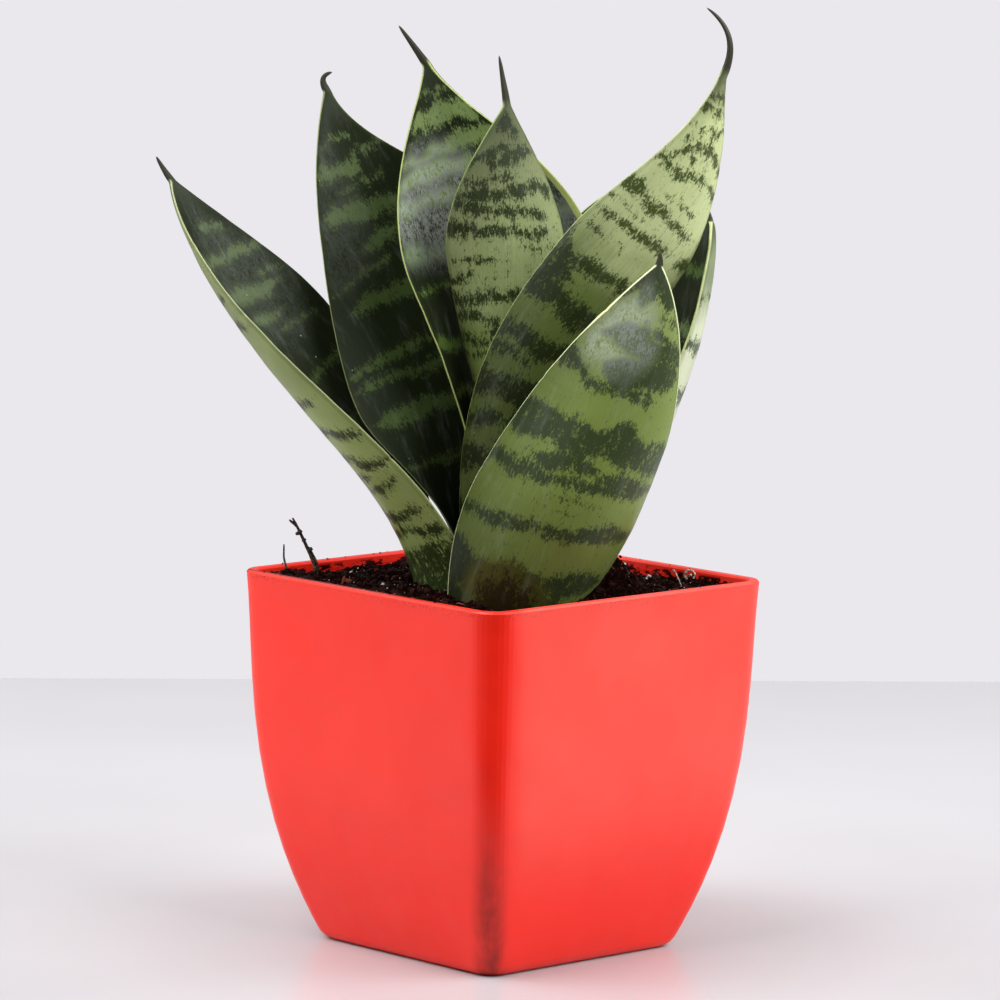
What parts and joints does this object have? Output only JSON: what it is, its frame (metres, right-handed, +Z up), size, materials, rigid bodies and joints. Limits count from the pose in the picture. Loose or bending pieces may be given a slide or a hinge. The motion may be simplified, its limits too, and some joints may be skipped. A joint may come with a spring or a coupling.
{
  "type": "potted snake plant",
  "caption": "Snake plant rosette of stiff banded channelled leaves with spiny tips, in a square tapering red plastic pot of dark soil.",
  "frame": {"origin": "middle of the pot's flat underside", "axes": "+Z up, X and Y along the sides of the square pot; the picture looks at the corner towards +X and -Y"},
  "size_m": [0.1243, 0.1228, 0.2536],
  "materials": {
    "pot_plastic": "satin",
    "soil_mix": "rough",
    "leaf_dark": "satin",
    "leaf_pale": "satin",
    "dry_stem": "rough"
  },
  "bodies": {
    "root": {"pot": "pot_plastic", "soil": "soil_mix", "leaf_outer_left": "leaf_pale", "leaf_back_left": "leaf_dark", "leaf_back_tall": "leaf_dark", "leaf_centre": "leaf_pale", "leaf_inner_right": "leaf_pale", "leaf_front": "leaf_pale", "leaf_outer_right": "leaf_dark", "leaf_back_right": "leaf_dark", "dry_twig": "dry_stem", "dry_thread": "dry_stem"}
  },
  "joints": []
}
